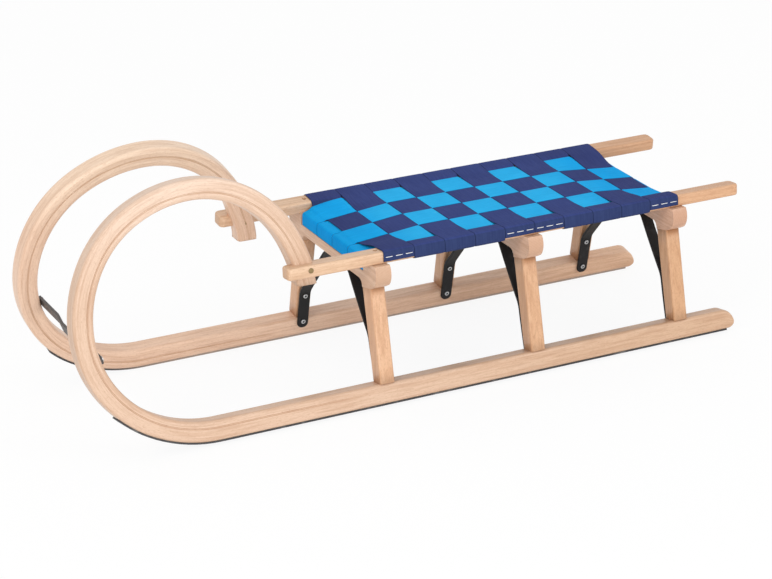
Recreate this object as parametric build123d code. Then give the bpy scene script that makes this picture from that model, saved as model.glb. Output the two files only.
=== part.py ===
from build123d import *
import os
from math import atan, cos, degrees, hypot, pi, radians, sin, tan

# Wooden horn sled with a woven belt seat. Millimetres, +Z up, +X forward (horns), +Y left.
# Origin on the ground under the middle of the sled. The left side is modelled, the right is its mirror.

# Runner blank and its lean
LEAN = 10.75                # tops of runners and legs lean inwards by this angle, degrees
RUN_W = 30.5                # across the runner
RUN_H = 31.0                # from the gliding side to the upper side
RUN_EDGE = 5.5              # rounding of the long edges
RUN_Y = 133.7               # inner gliding edge from the middle plane
TAIL_X = -536.0             # rear end
TAIL_TOP_R = 20.0           # rounding of the rear end, upper corner
TAIL_LOW_R = 9.0            # rounding of the rear end, lower corner
BEND_X = 346.4              # end of the straight part
# Horn: arcs one after another, each with its turn in degrees and its outer radius
HORN_ARCS = [
    {"turn": 30.0, "radius": 220.8},
    {"turn": 30.0, "radius": 188.4},
    {"turn": 30.0, "radius": 184.1},
    {"turn": 30.0, "radius": 200.2},
    {"turn": 30.0, "radius": 178.4},
    {"turn": 30.0, "radius": 203.4},
    {"turn": 30.0, "radius": 174.4},
    {"turn": 35.0, "radius": 182.8},
    {"turn": 10.0, "radius": 304.2},
    {"turn": 24.0, "radius": 150.0},
]
HORN_END_Z = 196.5          # horn end sawn level at this height
TIP_ROOM = 60.0             # cleared below the horn end, ahead of it and behind it

# Steel shoe under each runner
SHOE_W = 24.0
SHOE_T = 2.5
SHOE_TAIL_X = -524.0
SHOE_TURN = 45.5            # runs up the horn as far as this angle
SHOE_SEAT = 0.05            # hairline between shoe and wood

# Side rails
RAIL_LEAN = 5.7             # degrees
RAIL_W = 27.0
RAIL_H = 18.4
RAIL_Y = 107.6              # inner lower edge from the middle plane
RAIL_Z = 216.0              # inner lower edge above the ground
RAIL_LEAD = 16.5            # front end of the rail ahead of the horn that stands on it
RAIL_REAR_X = -551.0
RAIL_END_R = 8.0            # rounding of the ends seen from above
RAIL_EDGE = 3.5             # rounding of the long edges
RAIL_HOLE_D = 7.0           # screw hole in the rail's top over the front crossbar
RAIL_HOLE_DEPTH = 5.0

# Crossbars, front to rear
BAR_T = 25.0
BAR_LOW_Z = 185.8           # underside between the legs
BAR_TOP_Z = 220.4           # raised middle between the rails
BAR_END_Y = 147.5           # fullest point of the rounded ends
BAR_END_MID_Z = 207.0
BAR_END_TOP_Y = 142.5
BAR_END_LOW_Y = 141.0
BAR_END_LOW_Z = 187.2
BAR_HEEL_Y = 131.0          # the seam line over the leg runs out this far
BAR_HAUNCH_R = 11.5         # hollow between underside and leg
SEAM_RISE = LEAN + 3.0      # the seam between leg and crossbar rises outwards, degrees
BAR_REBATE = 1.7            # the outer crossbars are cut back this much where the belts come round them
BAR_REBATE_GAP = 2.4        # the cut-back stops this far from the rails' lower edges
BAR_EASE = 5.0              # rounding of its upper edge
BARS = [
    {"name": "front", "x": 78.8, "nose": 1},
    {"name": "middle", "x": -177.7, "nose": 0},
    {"name": "rear", "x": -434.2, "nose": -1},
]

# Legs
LEG_T = 25.0                # along X
LEG_IN = 1.2                # inner face from the runner's inner face
LEG_W = 28.3                # across
LEG_EDGE = 3.0
LEG_SEAT = 0.1              # hairline at foot and head

# Flat steel braces
BRACE_W = 18.0
BRACE_AHEAD = 1.5           # its middle stands this much ahead of the middle of the leg
BRACE_T = 4.5
BRACE_LOW = 15.5            # lower end above the gliding side, along the leg
BRACE_BEND = 100.0          # bend, along the leg
BRACE_TOP_Y = 50.0          # upper bend under the crossbar, from the middle plane
BRACE_TAB_Y = 22.0          # inner end of the tab
BRACE_BEND_R = 9.0
BRACE_END_R = 7.0
BRACE_SEAT = 0.2
BRACE_SCREWS = [{"along": 26.5}, {"along": 73.8}]

# Wood screws of the braces and of the tow bow
SCREW_HEAD_D = 9.0
SCREW_HEAD_H = 1.8
SCREW_SHANK_D = 4.2
SCREW_LEN = 16.0
SCREW_RIM = 0.6             # bevel of the head

# Tow bow between the horns
BOW_TURN = 73.5             # where on the horn it sits, degrees
BOW_W = 14.5
BOW_T = 4.0
BOW_END_Y = 125.0
BOW_BEND_Y = 43.0           # where the band leaves its level ends
BOW_MID_Y = 14.0            # where its middle begins
BOW_REACH = 4.5             # the middle stands this much further forward
BOW_BEND_R = 12.0
BOW_END_R = 6.0
BOW_SEAT = 1.1              # from the horn's middle line, because the horns lean and the bow is level
BOW_SCREW_Y = 118.0

# Seat belts
BELT_W = 47.6
BELT_T = 1.4
SLIT_X = 3.4                # between crosswise belts
SLIT_Y = 4.2                # between lengthwise belts
CROSS_COUNT = 10
LONG_COUNT = 4
SEAT_Z = 232.05             # middle of the weave
WEAVE_LIFT = 0.85           # a belt runs this much over or under the middle
CROSS_FIRST_X = 47.2        # centre of the first crosswise belt
OUTER_LEVEL_Z = 222.15      # middle of the weave at the outer edges of the first and last crosswise belt
LEVEL_FROM = 2              # from this crosswise belt to its opposite number the seat is level
BELT_LEAD = 1.6             # lengthwise belts run this far past the outer crosswise belts before they drop
RISE_LEAD = 1.9             # the same where the seat slopes and they climb the rails' inner faces
CROSS_LEAD = 0.7            # crosswise belts past the outer lengthwise belts before they rise to the rails
BELT_GAP = 0.3              # between belt and wood
NOSE_STEPS = 6              # facets of a belt round a crossbar's edge
BELT_DROP_Z = 200.8         # lower end of the lengthwise belts on the crossbar faces
STAPLED_DROP = 15.0         # how far a stapled belt reaches down the rail's outer face
BELT_TURN = 1.1             # where a belt leaves a rail face at an edge
TUCK = 20.0                 # how far a wrapped belt reaches in under the rail
STAPLED = [1, 5, 6, 10]     # crosswise belts stapled on the rail's face; the others pass under it

# Coach bolts through rail and horn
BOLT_BACK = 3.0             # behind the middle of the horn at the rail's height
BOLT_UP = 11.0              # above the rail's underside
BOLT_HEAD_D = 7.8
BOLT_HEAD_H = 2.2
BOLT_PROUD = 0.6            # how far the head stands out of the rail
BOLT_SHANK_D = 6.0
BOLT_SHANK = 42.0
FIT = 0.2                   # clearance of bolts and screws in their holes

SAME = 0.02                 # two lengths closer than this are one
STEEP = 0.9                 # direction cosine of an edge that counts as along an axis

FULL_TURN = sum(arc["turn"] for arc in HORN_ARCS)
HALF_TURN = 180.0
TURN_STEP = 0.5             # degrees, when a point of the horn is looked for

LOW = sin(radians(LEAN))
UP = cos(radians(LEAN))
SHOE_EDGE = (RUN_W - SHOE_W) / 2
# the shoe's inner lower edge is the lowest point of the sled
LIFT = (SHOE_T + SHOE_SEAT) * UP - SHOE_EDGE * LOW
RUN_PLANE = Plane(origin=(0, RUN_Y, LIFT), x_dir=(1, 0, 0), z_dir=(0, -UP, -LOW))
RAIL_OUT = cos(radians(RAIL_LEAN))
RAIL_RISE = sin(radians(RAIL_LEAN))


def place(across, along):
    """Y and Z of a point of the leaning runner plane: across from its inner face, along its height."""
    return (RUN_Y + across * UP - along * LOW, LIFT + across * LOW + along * UP)


def rail_place(across, up):
    """Y and Z of a point of the leaning rail section."""
    return (RAIL_Y + across * RAIL_OUT - up * RAIL_RISE, RAIL_Z + across * RAIL_RISE + up * RAIL_OUT)


def horn_points(inset, last_turn=FULL_TURN):
    """Start, middle and end of each arc, inset from the outer outline, as far as last_turn degrees."""
    x, v, heading, turned = BEND_X, 0.0, 0.0, 0.0
    arcs = []
    for arc in HORN_ARCS:
        turn = min(arc["turn"], last_turn - turned)
        if turn <= 0:
            break
        radius = arc["radius"]
        cx = x - radius * sin(heading)
        cv = v + radius * cos(heading)
        three = []
        for part in (0.0, 0.5, 1.0):
            a = heading + radians(turn) * part
            three.append((cx + (radius - inset) * sin(a), cv - (radius - inset) * cos(a)))
        arcs.append(three)
        heading += radians(turn)
        turned += turn
        x = cx + radius * sin(heading)
        v = cv - radius * cos(heading)
    return arcs


def horn_x(inset, level):
    """X where a line of the falling horn, inset from the outer outline, passes a level of its plane."""
    turn = FULL_TURN
    height = horn_points(inset, turn)[-1][2][1]
    while height < level and turn > HALF_TURN:
        turn -= TURN_STEP
        height = horn_points(inset, turn)[-1][2][1]
    return horn_points(inset, turn)[-1][2][0]


def strip_face(plane, tail_x, outer, inner, last_turn):
    """Band between two insets of the outline, from tail_x forward and up the horn."""
    out = horn_points(outer, last_turn)
    back = horn_points(inner, last_turn)
    edges = [Line((tail_x, outer), out[0][0])]
    edges += [ThreePointArc(a, m, b) for a, m, b in out]
    edges.append(Line(out[-1][2], back[-1][2]))
    edges += [ThreePointArc(b, m, a) for a, m, b in reversed(back)]
    edges.append(Line(back[0][0], (tail_x, inner)))
    edges.append(Line((tail_x, inner), (tail_x, outer)))
    return plane * make_face(Wire(edges))


def block(x0, x1, y0, y1, z0, z1):
    """Box between two corners."""
    return Pos((x0 + x1) / 2, (y0 + y1) / 2, (z0 + z1) / 2) * Box(x1 - x0, y1 - y0, z1 - z0)


def yz_prism(points, x_mid, width):
    """Polygon in Y and Z, extruded along X about x_mid."""
    face = make_face(Polyline(*[(x_mid - width / 2, y, z) for y, z in points], close=True))
    return extrude(face, amount=width, dir=(1, 0, 0))


def offset_path(points, half):
    """Polygon of a band of half-width half along a polyline of the plane."""
    left, right = [], []
    count = len(points)
    for i, (a, b) in enumerate(points):
        dirs = []
        for j in (i - 1, i):
            if 0 <= j < count - 1:
                dx = points[j + 1][0] - points[j][0]
                dy = points[j + 1][1] - points[j][1]
                n = (dx * dx + dy * dy) ** 0.5
                dirs.append((dx / n, dy / n))
        tx = sum(d[0] for d in dirs)
        ty = sum(d[1] for d in dirs)
        n = (tx * tx + ty * ty) ** 0.5
        tx, ty = tx / n, ty / n
        stretch = half / (tx * dirs[0][0] + ty * dirs[0][1])
        left.append((a - ty * stretch, b + tx * stretch))
        right.append((a + ty * stretch, b - tx * stretch))
    return left + right[::-1]


def save(shape, name):
    """Write one node."""
    shape.label = name
    export_step(shape, "parts/" + name + ".step")


def save_pair(shape, name):
    """Write a left piece and its mirror image."""
    save(shape, name + "_left")
    save(mirror(shape, about=Plane.XZ), name + "_right")


os.makedirs("parts", exist_ok=True)

# Rails: their front ends and bolts keep their places at the horns
rail_level = (RAIL_Z + RAIL_H / 2 - LIFT - RUN_W / 2 * LOW) / UP
horn_front = horn_x(RUN_H, rail_level)
horn_mid = horn_x(RUN_H / 2, rail_level)
horn_back = horn_x(0.0, rail_level)
rail_front = horn_front + RAIL_LEAD
bolt_x = horn_mid - BOLT_BACK
rail_plane = Plane(origin=(0, RAIL_Y, RAIL_Z), x_dir=(1, 0, 0), z_dir=(0, -RAIL_RISE, RAIL_OUT))
rail_len = rail_front - RAIL_REAR_X
rail_mid = (rail_front + RAIL_REAR_X) / 2
rail_room = rail_plane * (
    Pos(rail_mid, RAIL_W, RAIL_H / 2) * Box(rail_len, 2 * (RAIL_W + FIT), RAIL_H + 2 * FIT)
)
rail = rail_plane * (Pos(rail_mid, RAIL_W / 2, RAIL_H / 2) * Box(rail_len, RAIL_W, RAIL_H))
upright = [e for e in rail.edges() if abs(e.length - RAIL_H) < 0.01]
rail = fillet(upright, RAIL_END_R)
rims = []
for face in rail.faces():
    c = face.center() - rail_plane.origin
    up = c.Y * -RAIL_RISE + c.Z * RAIL_OUT
    if abs(up) < 0.01 or abs(up - RAIL_H) < 0.01:
        rims += list(face.edges())
rail = fillet(rims, RAIL_EDGE)
bolt_hole = rail_plane * (
    Pos(bolt_x, RAIL_W / 2, BOLT_UP) * Rot(90, 0, 0) * Cylinder(BOLT_SHANK_D / 2 + FIT, RAIL_W * 3)
)
head_room = rail_plane * (
    Pos(bolt_x, RAIL_W, BOLT_UP) * Rot(90, 0, 0) * Cylinder(BOLT_HEAD_D / 2 + FIT, 2 * BOLT_HEAD_H)
)
top_hole = Pos(BARS[0]["x"], RAIL_W / 2, RAIL_H) * Cylinder(RAIL_HOLE_D / 2, 2 * RAIL_HOLE_DEPTH)
top_hole = rail_plane * top_hole
rail = rail - bolt_hole - head_room - top_hole
save_pair(rail, "side_rail")

# Runners with their horns, notched for the rails
blank = extrude(strip_face(RUN_PLANE, TAIL_X, 0.0, RUN_H, FULL_TURN), amount=-RUN_W)


def tail_edge(shape, top):
    """Cross edge at the rear end of a runner blank, upper or lower."""
    found = []
    for edge in shape.edges():
        c = edge.center()
        crosswise = abs(abs(edge.tangent_at(0).Z) - LOW) < SAME
        if abs(c.X - TAIL_X) < SAME and crosswise and (c.Z > LIFT + RUN_H / 2) == top:
            found.append(edge)
    return found


blank = fillet(tail_edge(blank, False), TAIL_LOW_R)
blank = fillet(tail_edge(blank, True), TAIL_TOP_R)
long_edges = []
for edge in blank.edges():
    a = edge.position_at(0) - RUN_PLANE.origin
    b = edge.position_at(1) - RUN_PLANE.origin
    across_a = a.Y * UP + a.Z * LOW
    across_b = b.Y * UP + b.Z * LOW
    sawn = abs(edge.length - RUN_H) < SAME
    if abs(across_a - across_b) < SAME and not sawn:
        long_edges.append(edge)
runner = fillet(long_edges, RUN_EDGE)
tip_x = (horn_back + horn_front) / 2
tip_cut = block(tip_x - TIP_ROOM, tip_x + TIP_ROOM, 0, 2 * RUN_Y, HORN_END_Z - TIP_ROOM, HORN_END_Z)
runner = runner - tip_cut - rail_room - bolt_hole

# Shoes
shoe_face = strip_face(RUN_PLANE, SHOE_TAIL_X, -SHOE_T - SHOE_SEAT, -SHOE_SEAT, SHOE_TURN)
shoe = extrude(shoe_face, amount=-SHOE_W)
shoe = Pos(0, SHOE_EDGE * UP, SHOE_EDGE * LOW) * shoe
save_pair(shoe, "shoe")

# Crossbars
leg_low = BAR_LOW_Z - BAR_HAUNCH_R


def leaning_y(across, z):
    """Y of the leaning plane at height z."""
    along = (z - LIFT - across * LOW) / UP
    return RUN_Y + across * UP - along * LOW


hip_in = leaning_y(LEG_IN, leg_low)
hip_out_z = leg_low + (leaning_y(LEG_IN + LEG_W, leg_low) - hip_in) * tan(radians(SEAM_RISE))
shoulder_in = rail_place(0, -FIT / 2)
shoulder_out = rail_place((BAR_END_TOP_Y - RAIL_Y) / RAIL_OUT, -FIT / 2)
step_in = rail_place(-FIT, 0)
step_top = rail_place(-FIT, (BAR_TOP_Z - RAIL_Z) / RAIL_OUT)
haunch_mid = BAR_HAUNCH_R * (1 - cos(pi / 4))


def bar_profile():
    """Half outline of a crossbar for y > 0, closed on the middle plane."""
    heel_z = leg_low + (BAR_HEEL_Y - hip_in) * tan(radians(SEAM_RISE))
    edges = [
        Line((0, 0, BAR_LOW_Z), (0, hip_in - BAR_HAUNCH_R, BAR_LOW_Z)),
        ThreePointArc(
            (0, hip_in - BAR_HAUNCH_R, BAR_LOW_Z),
            (0, hip_in - haunch_mid, BAR_LOW_Z - haunch_mid),
            (0, hip_in, leg_low),
        ),
        Line((0, hip_in, leg_low), (0, BAR_HEEL_Y, heel_z)),
        Line((0, BAR_HEEL_Y, heel_z), (0, BAR_END_LOW_Y, BAR_END_LOW_Z)),
        ThreePointArc(
            (0, BAR_END_LOW_Y, BAR_END_LOW_Z),
            (0, BAR_END_Y, BAR_END_MID_Z),
            (0, shoulder_out[0], shoulder_out[1]),
        ),
        Line((0, *shoulder_out), (0, *shoulder_in)),
        Line((0, *shoulder_in), (0, step_in[0], shoulder_in[1])),
        Line((0, step_in[0], shoulder_in[1]), (0, *step_top)),
        Line((0, *step_top), (0, 0, BAR_TOP_Z)),
        Line((0, 0, BAR_TOP_Z), (0, 0, BAR_LOW_Z)),
    ]
    return make_face(Wire(edges))


bar_half = extrude(bar_profile(), amount=BAR_T / 2, dir=(1, 0, 0), both=True)
bar_whole = bar_half + mirror(bar_half, about=Plane.XZ)
for bar in BARS:
    body = Pos(bar["x"], 0, 0) * bar_whole
    s = bar["nose"]
    if s:
        face_x = bar["x"] + s * (BAR_T / 2 - BAR_REBATE)
        ease_x = face_x - s * BAR_EASE
        ease_z = BAR_TOP_Z - BAR_EASE
        half_y = RAIL_Y - BAR_REBATE_GAP
        past_x = bar["x"] + s * BAR_T
        low, high = sorted((face_x, past_x))
        rebate = block(low, high, -half_y, half_y, BELT_DROP_Z - BELT_GAP, 2 * BAR_TOP_Z)
        low, high = sorted((ease_x, past_x))
        corner = block(low, high, -half_y, half_y, ease_z, 2 * BAR_TOP_Z)
        corner = corner - Pos(ease_x, 0, ease_z) * Rot(90, 0, 0) * Cylinder(BAR_EASE, 2 * RAIL_Y)
        body = body - rebate - corner
    save(body, "crossbar_" + bar["name"])

# Screws of the braces, and their holes in wood and steel
screws = []
holes = []
for bar in BARS:
    for row in BRACE_SCREWS:
        y, z = place(-BRACE_SEAT - BRACE_T, row["along"])
        axis = Plane(origin=(bar["x"] + BRACE_AHEAD, y, z), x_dir=(1, 0, 0), z_dir=(0, -UP, -LOW))
        head = Pos(0, 0, SCREW_HEAD_H / 2) * Cylinder(SCREW_HEAD_D / 2, SCREW_HEAD_H)
        top_rim = head.edges().sort_by(Axis.Z)[-1]
        head = chamfer([top_rim], SCREW_RIM)
        shank = Pos(0, 0, -SCREW_LEN / 2) * Cylinder(SCREW_SHANK_D / 2, SCREW_LEN)
        hole = Pos(0, 0, -SCREW_LEN / 2) * Cylinder(SCREW_SHANK_D / 2 + FIT, SCREW_LEN + 2 * FIT)
        screws.append(axis * (head + shank))
        holes.append(axis * hole)
save_pair(Compound(children=screws), "brace_screws")
for hole in holes:
    runner = runner - hole
save_pair(runner, "runner")

# Legs
foot = RUN_H + LEG_SEAT
for bar in BARS:
    low_in = place(LEG_IN, foot)
    low_out = place(LEG_IN + LEG_W, foot)
    top_in = (hip_in, leg_low - LEG_SEAT)
    out_y = leaning_y(LEG_IN + LEG_W, hip_out_z)
    top_out = (out_y, leg_low + (out_y - hip_in) * tan(radians(SEAM_RISE)) - LEG_SEAT)
    leg = yz_prism([low_in, low_out, top_out, top_in], bar["x"], LEG_T)
    stand = [e for e in leg.edges() if abs(e.tangent_at(0).Z) > STEEP]
    leg = chamfer(stand, LEG_EDGE)
    for hole in holes:
        leg = leg - hole
    save_pair(leg, "leg_" + bar["name"])

# Braces
for bar in BARS:
    tab_z = BAR_LOW_Z - BRACE_SEAT - BRACE_T / 2
    line = [
        place(-BRACE_T / 2 - BRACE_SEAT, BRACE_LOW),
        place(-BRACE_T / 2 - BRACE_SEAT, BRACE_BEND),
        (BRACE_TOP_Y, tab_z),
        (BRACE_TAB_Y, tab_z),
    ]
    brace = yz_prism(offset_path(line, BRACE_T / 2), bar["x"] + BRACE_AHEAD, BRACE_W)
    bends = []
    for edge in brace.edges():
        q = edge.center()
        near = min(hypot(q.Y - y, q.Z - z) for y, z in line[1:3])
        if abs(edge.tangent_at(0).X) > STEEP and near < BRACE_T:
            bends.append(edge)
    brace = fillet(bends, BRACE_BEND_R)
    corners = []
    for edge in brace.edges():
        q = edge.center()
        at_end = q.Z < line[0][1] + BRACE_T or q.Y < BRACE_TAB_Y + BRACE_T / 2
        if abs(edge.length - BRACE_T) < SAME and at_end:
            corners.append(edge)
    brace = fillet(corners, BRACE_END_R)
    for hole in holes:
        brace = brace - hole
    save_pair(brace, "brace_" + bar["name"])

# Tow bow: a band seen from above, then tipped to the horn's slope
x, v, heading = BEND_X, 0.0, 0.0
for arc in HORN_ARCS:
    r = arc["radius"]
    cx = x - r * sin(heading)
    cv = v + r * cos(heading)
    if heading + radians(arc["turn"]) >= radians(BOW_TURN):
        break
    heading += radians(arc["turn"])
    x = cx + r * sin(heading)
    v = cv - r * cos(heading)
bow_x = cx + (r - RUN_H) * sin(radians(BOW_TURN))
bow_v = cv - (r - RUN_H) * cos(radians(BOW_TURN))
bow_z = place(RUN_W / 2, bow_v)[1]
back = -BOW_T / 2 - BOW_SEAT
line = [(back, BOW_END_Y), (back, BOW_BEND_Y), (back + BOW_REACH, BOW_MID_Y)]
line = line + [(reach, -y) for reach, y in reversed(line)]
face = make_face(Polyline(*[(reach, y, 0) for reach, y in offset_path(line, BOW_T / 2)], close=True))
bow = extrude(face, amount=BOW_W / 2, both=True)
bends = []
for edge in bow.edges():
    if abs(edge.tangent_at(0).Z) > STEEP and abs(edge.center().Y) < BOW_END_Y - BOW_T:
        bends.append(edge)
bow = fillet(bends, BOW_BEND_R)
ends = []
for edge in bow.edges():
    if abs(edge.length - BOW_T) < SAME and abs(edge.center().Y) > BOW_END_Y - BOW_T:
        ends.append(edge)
bow = fillet(ends, BOW_END_R)
bow_place = Pos(bow_x, 0, bow_z) * Rot(0, 90 - BOW_TURN, 0)
bow_screws = []
for side in (1, -1):
    head = Pos(back - BOW_T / 2 - SCREW_HEAD_H / 2, side * BOW_SCREW_Y, 0) * Rot(0, 90, 0)
    head = head * Cylinder(SCREW_HEAD_D / 2, SCREW_HEAD_H)
    bow_screws.append(bow_place * head)
save(bow_place * bow, "tow_bow")
save(Compound(children=bow_screws), "bow_screws")

# Coach bolts: head let into the rail, shank through rail and horn
head_y = RAIL_W - BOLT_HEAD_H / 2 + BOLT_PROUD
shank_y = RAIL_W - BOLT_SHANK / 2
head = Pos(bolt_x, head_y, BOLT_UP) * Rot(90, 0, 0) * Cylinder(BOLT_HEAD_D / 2, BOLT_HEAD_H)
shank = Pos(bolt_x, shank_y, BOLT_UP) * Rot(90, 0, 0) * Cylinder(BOLT_SHANK_D / 2, BOLT_SHANK)
save_pair(rail_plane * (head + shank), "rail_bolt")


def cross_edges(i):
    """Rear and front edge of a crosswise belt along X."""
    x_mid = CROSS_FIRST_X - i * (BELT_W + SLIT_X)
    return x_mid - BELT_W / 2, x_mid + BELT_W / 2


def row_mid(row):
    """Y of the middle of a lengthwise belt."""
    return (row - (LONG_COUNT - 1) / 2) * (BELT_W + SLIT_Y)


level_front = cross_edges(LEVEL_FROM)[1] + SLIT_X / 2
level_rear = cross_edges(CROSS_COUNT - 1 - LEVEL_FROM)[0] - SLIT_X / 2
slope_front = (SEAT_Z - OUTER_LEVEL_Z) / (cross_edges(0)[1] - level_front)
slope_rear = (SEAT_Z - OUTER_LEVEL_Z) / (level_rear - cross_edges(CROSS_COUNT - 1)[0])


def seat_level(x):
    """Middle of the weave at X: level, and sloping down to the outer crossbars."""
    down = max(0.0, x - level_front) * slope_front + max(0.0, level_rear - x) * slope_rear
    return SEAT_Z - down


def nose(bar):
    """Belt from its lower end up the crossbar's face and round its upper edge."""
    s = bar["nose"]
    skin = BELT_GAP + BELT_T / 2
    ease_x = bar["x"] + s * (BAR_T / 2 - BAR_REBATE - BAR_EASE)
    ease_z = BAR_TOP_Z - BAR_EASE
    reach = BAR_EASE + skin
    points = [(ease_x + s * reach, BELT_DROP_Z)]
    for k in range(NOSE_STEPS + 1):
        t = pi / 2 * k / NOSE_STEPS
        points.append((ease_x + s * reach * cos(t), ease_z + reach * sin(t)))
    return points


# Crosswise belts, woven, then over the rails
cross = []
rail_top = RAIL_H + BELT_GAP + BELT_T / 2
face_out = RAIL_W + BELT_GAP + BELT_T / 2
under = -BELT_GAP - BELT_T / 2
for i in range(CROSS_COUNT):
    x_rear, x_front = cross_edges(i)
    x_mid = (x_rear + x_front) / 2
    z_mid = seat_level(x_mid)
    fall = (seat_level(x_rear) - seat_level(x_front)) / (x_front - x_rear)
    tilted = abs(fall) > SAME
    half = []
    for row in range(LONG_COUNT):
        z = z_mid + (WEAVE_LIFT if (i + row) % 2 else -WEAVE_LIFT)
        half += [(row_mid(row) - BELT_W / 2, z), (row_mid(row) + BELT_W / 2, z)]
    lead = RISE_LEAD if tilted else CROSS_LEAD
    half[0] = (half[0][0] - lead, half[0][1])
    half[-1] = (half[-1][0] + lead, half[-1][1])
    tail = [
        rail_place(BELT_TURN, rail_top),
        rail_place(RAIL_W - BELT_TURN, rail_top),
        rail_place(face_out, RAIL_H - BELT_TURN),
    ]
    if i + 1 in STAPLED:
        tail += [rail_place(face_out, RAIL_H - STAPLED_DROP)]
    else:
        tail += [
            rail_place(face_out, BELT_TURN),
            rail_place(RAIL_W - BELT_TURN, under),
            rail_place(RAIL_W - TUCK, under),
        ]
    if tilted:
        # the sloping middle ends in two upright strips that climb the rails' inner faces
        middle = yz_prism(offset_path(half, BELT_T / 2), x_mid, BELT_W)
        middle = middle.rotate(Axis((x_mid, 0, z_mid), (0, 1, 0)), degrees(atan(fall)))
        foot_z = z_mid - abs(fall) * BELT_W / 2 - WEAVE_LIFT - BELT_T / 2
        climb = [(half[-1][0], foot_z), (half[-1][0], tail[0][1] - BELT_T)]
        side = yz_prism(offset_path(climb + tail, BELT_T / 2), x_mid, BELT_W)
        cross.append(middle + side + mirror(side, about=Plane.XZ))
    else:
        right = [(-y, z) for y, z in reversed(tail)]
        outline = offset_path(right + half + tail, BELT_T / 2)
        cross.append(yz_prism(outline, x_mid, x_front - x_rear))
save(Compound(children=cross), "belts_crosswise")

# Lengthwise belts
longs = []
for row in range(LONG_COUNT):
    woven = []
    for i in range(CROSS_COUNT):
        x_rear, x_front = cross_edges(i)
        lift = -WEAVE_LIFT if (i + row) % 2 else WEAVE_LIFT
        woven += [(x_front, seat_level(x_front) + lift), (x_rear, seat_level(x_rear) + lift)]
    woven[0] = (woven[0][0] + BELT_LEAD, woven[0][1])
    woven[-1] = (woven[-1][0] - BELT_LEAD, woven[-1][1])
    line = nose(BARS[0]) + woven + nose(BARS[-1])[::-1]
    outline = offset_path(line, BELT_T / 2)
    near_y = row_mid(row) - BELT_W / 2
    face = make_face(Polyline(*[(x, near_y, z) for x, z in outline], close=True))
    longs.append(extrude(face, amount=BELT_W, dir=(0, 1, 0)))
save(Compound(children=longs), "belts_lengthwise")
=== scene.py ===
import math

import bmesh
import bpy
import numpy as np
from mathutils import Matrix, Vector


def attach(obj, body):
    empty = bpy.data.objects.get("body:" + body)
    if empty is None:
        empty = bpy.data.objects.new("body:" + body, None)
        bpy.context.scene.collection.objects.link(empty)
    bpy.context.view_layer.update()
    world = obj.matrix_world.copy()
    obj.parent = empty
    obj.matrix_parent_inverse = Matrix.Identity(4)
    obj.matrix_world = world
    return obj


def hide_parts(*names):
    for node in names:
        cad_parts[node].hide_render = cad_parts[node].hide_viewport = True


# Wooden horn sled with a seat woven from belts. Metres and radians, +X forward, +Y left, +Z up.
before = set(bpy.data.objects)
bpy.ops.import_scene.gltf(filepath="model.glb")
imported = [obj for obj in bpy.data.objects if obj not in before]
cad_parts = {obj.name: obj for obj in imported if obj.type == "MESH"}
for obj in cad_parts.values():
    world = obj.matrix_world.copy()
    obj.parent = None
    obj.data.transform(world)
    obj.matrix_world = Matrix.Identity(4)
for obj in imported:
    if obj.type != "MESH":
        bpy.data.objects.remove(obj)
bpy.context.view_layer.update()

MM = 0.001
SIDES = {"left": 1.0, "right": -1.0}
BARS = {"front": 78.8 * MM, "middle": -177.7 * MM, "rear": -434.2 * MM}
BAR_T = 25.0 * MM
QUARTER = math.pi / 2

# Runner and horn, as in the construction
LEAN = math.radians(10.75)
RUN_W = 30.5 * MM
RUN_H = 31.0 * MM
RUN_EDGE = 5.5 * MM
EDGE_LEAD = 0.6 * MM  # the flats have points this close to the corners, so that they shade flat
CORNER_POINTS = 6
RUN_Y = 133.7 * MM
TAIL_X = -536.0 * MM
TAIL_TOP_R = 20.0 * MM
TAIL_LOW_R = 9.0 * MM
BEND_X = 346.4 * MM
HORN_TURNS = np.radians([30.0, 30.0, 30.0, 30.0, 30.0, 30.0, 30.0, 35.0, 10.0, 24.0])
HORN_RADII = np.array([220.8, 188.4, 184.1, 200.2, 178.4, 203.4, 174.4, 182.8, 304.2, 150.0]) * MM
STRAIGHT = BEND_X - TAIL_X
HORN_ARCS = HORN_TURNS * HORN_RADII
RUN_TOTAL = STRAIGHT + HORN_ARCS.sum()
TAIL_RINGS = 16
STRAIGHT_RINGS = 60
RING_STEP = 3.2 * MM  # distance between two rings on the bent part
LAST_RING = 1.0 * MM  # the rings end this far before the outline's end and above the saw cut
END_PIECE = 5.0 * MM  # length of the pattern between the last ring and the saw cut
OTHER_WOOD = 3.0  # the right runner's pattern is taken this far along
# The two horn tips differ a little: height of the saw cut, how far the tip is swung forward, and the
# power of the share of its last length by which the swing grows
HORN_END_Z = {"left": 205.0 * MM, "right": 193.5 * MM}
TIP_SWING = {"left": 34.4 * MM, "right": -7.0 * MM}
TIP_FROM = 95.0 * MM  # the swing grows over this length
TIP_BEND = {"left": 3.4, "right": 1.5}
SHOE_T = 2.5 * MM
SHOE_EDGE = 3.25 * MM
SHOE_GAP = 0.05 * MM
LOW = math.sin(LEAN)
UP = math.cos(LEAN)
LIFT = SHOE_T * UP + SHOE_GAP - SHOE_EDGE * LOW

# Glue line of the bent wood: its place on each face, from the gliding side, and its size
JOINT_OUT = 0.66
JOINT_IN = 0.45
JOINT_W = 1.3 * MM
JOINT_DEPTH = 0.8 * MM
JOINT_STEP = 0.25 * MM  # the concave layer stands back this much
JOINT_FADE = (60.0 * MM, 230.0 * MM)  # the line dies out between these X on the straight part
GLUE_HALF = 0.8 * MM  # half the distance between its two fine lines
GLUE_SOFT = (0.2 * MM, 0.6 * MM)

# Side rails
RAIL_LEAN = math.radians(5.7)
RAIL_W = 27.0 * MM
RAIL_H = 18.4 * MM
RAIL_Y = 107.6 * MM
RAIL_Z = 216.0 * MM
RAIL_EDGE = 3.5 * MM

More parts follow.
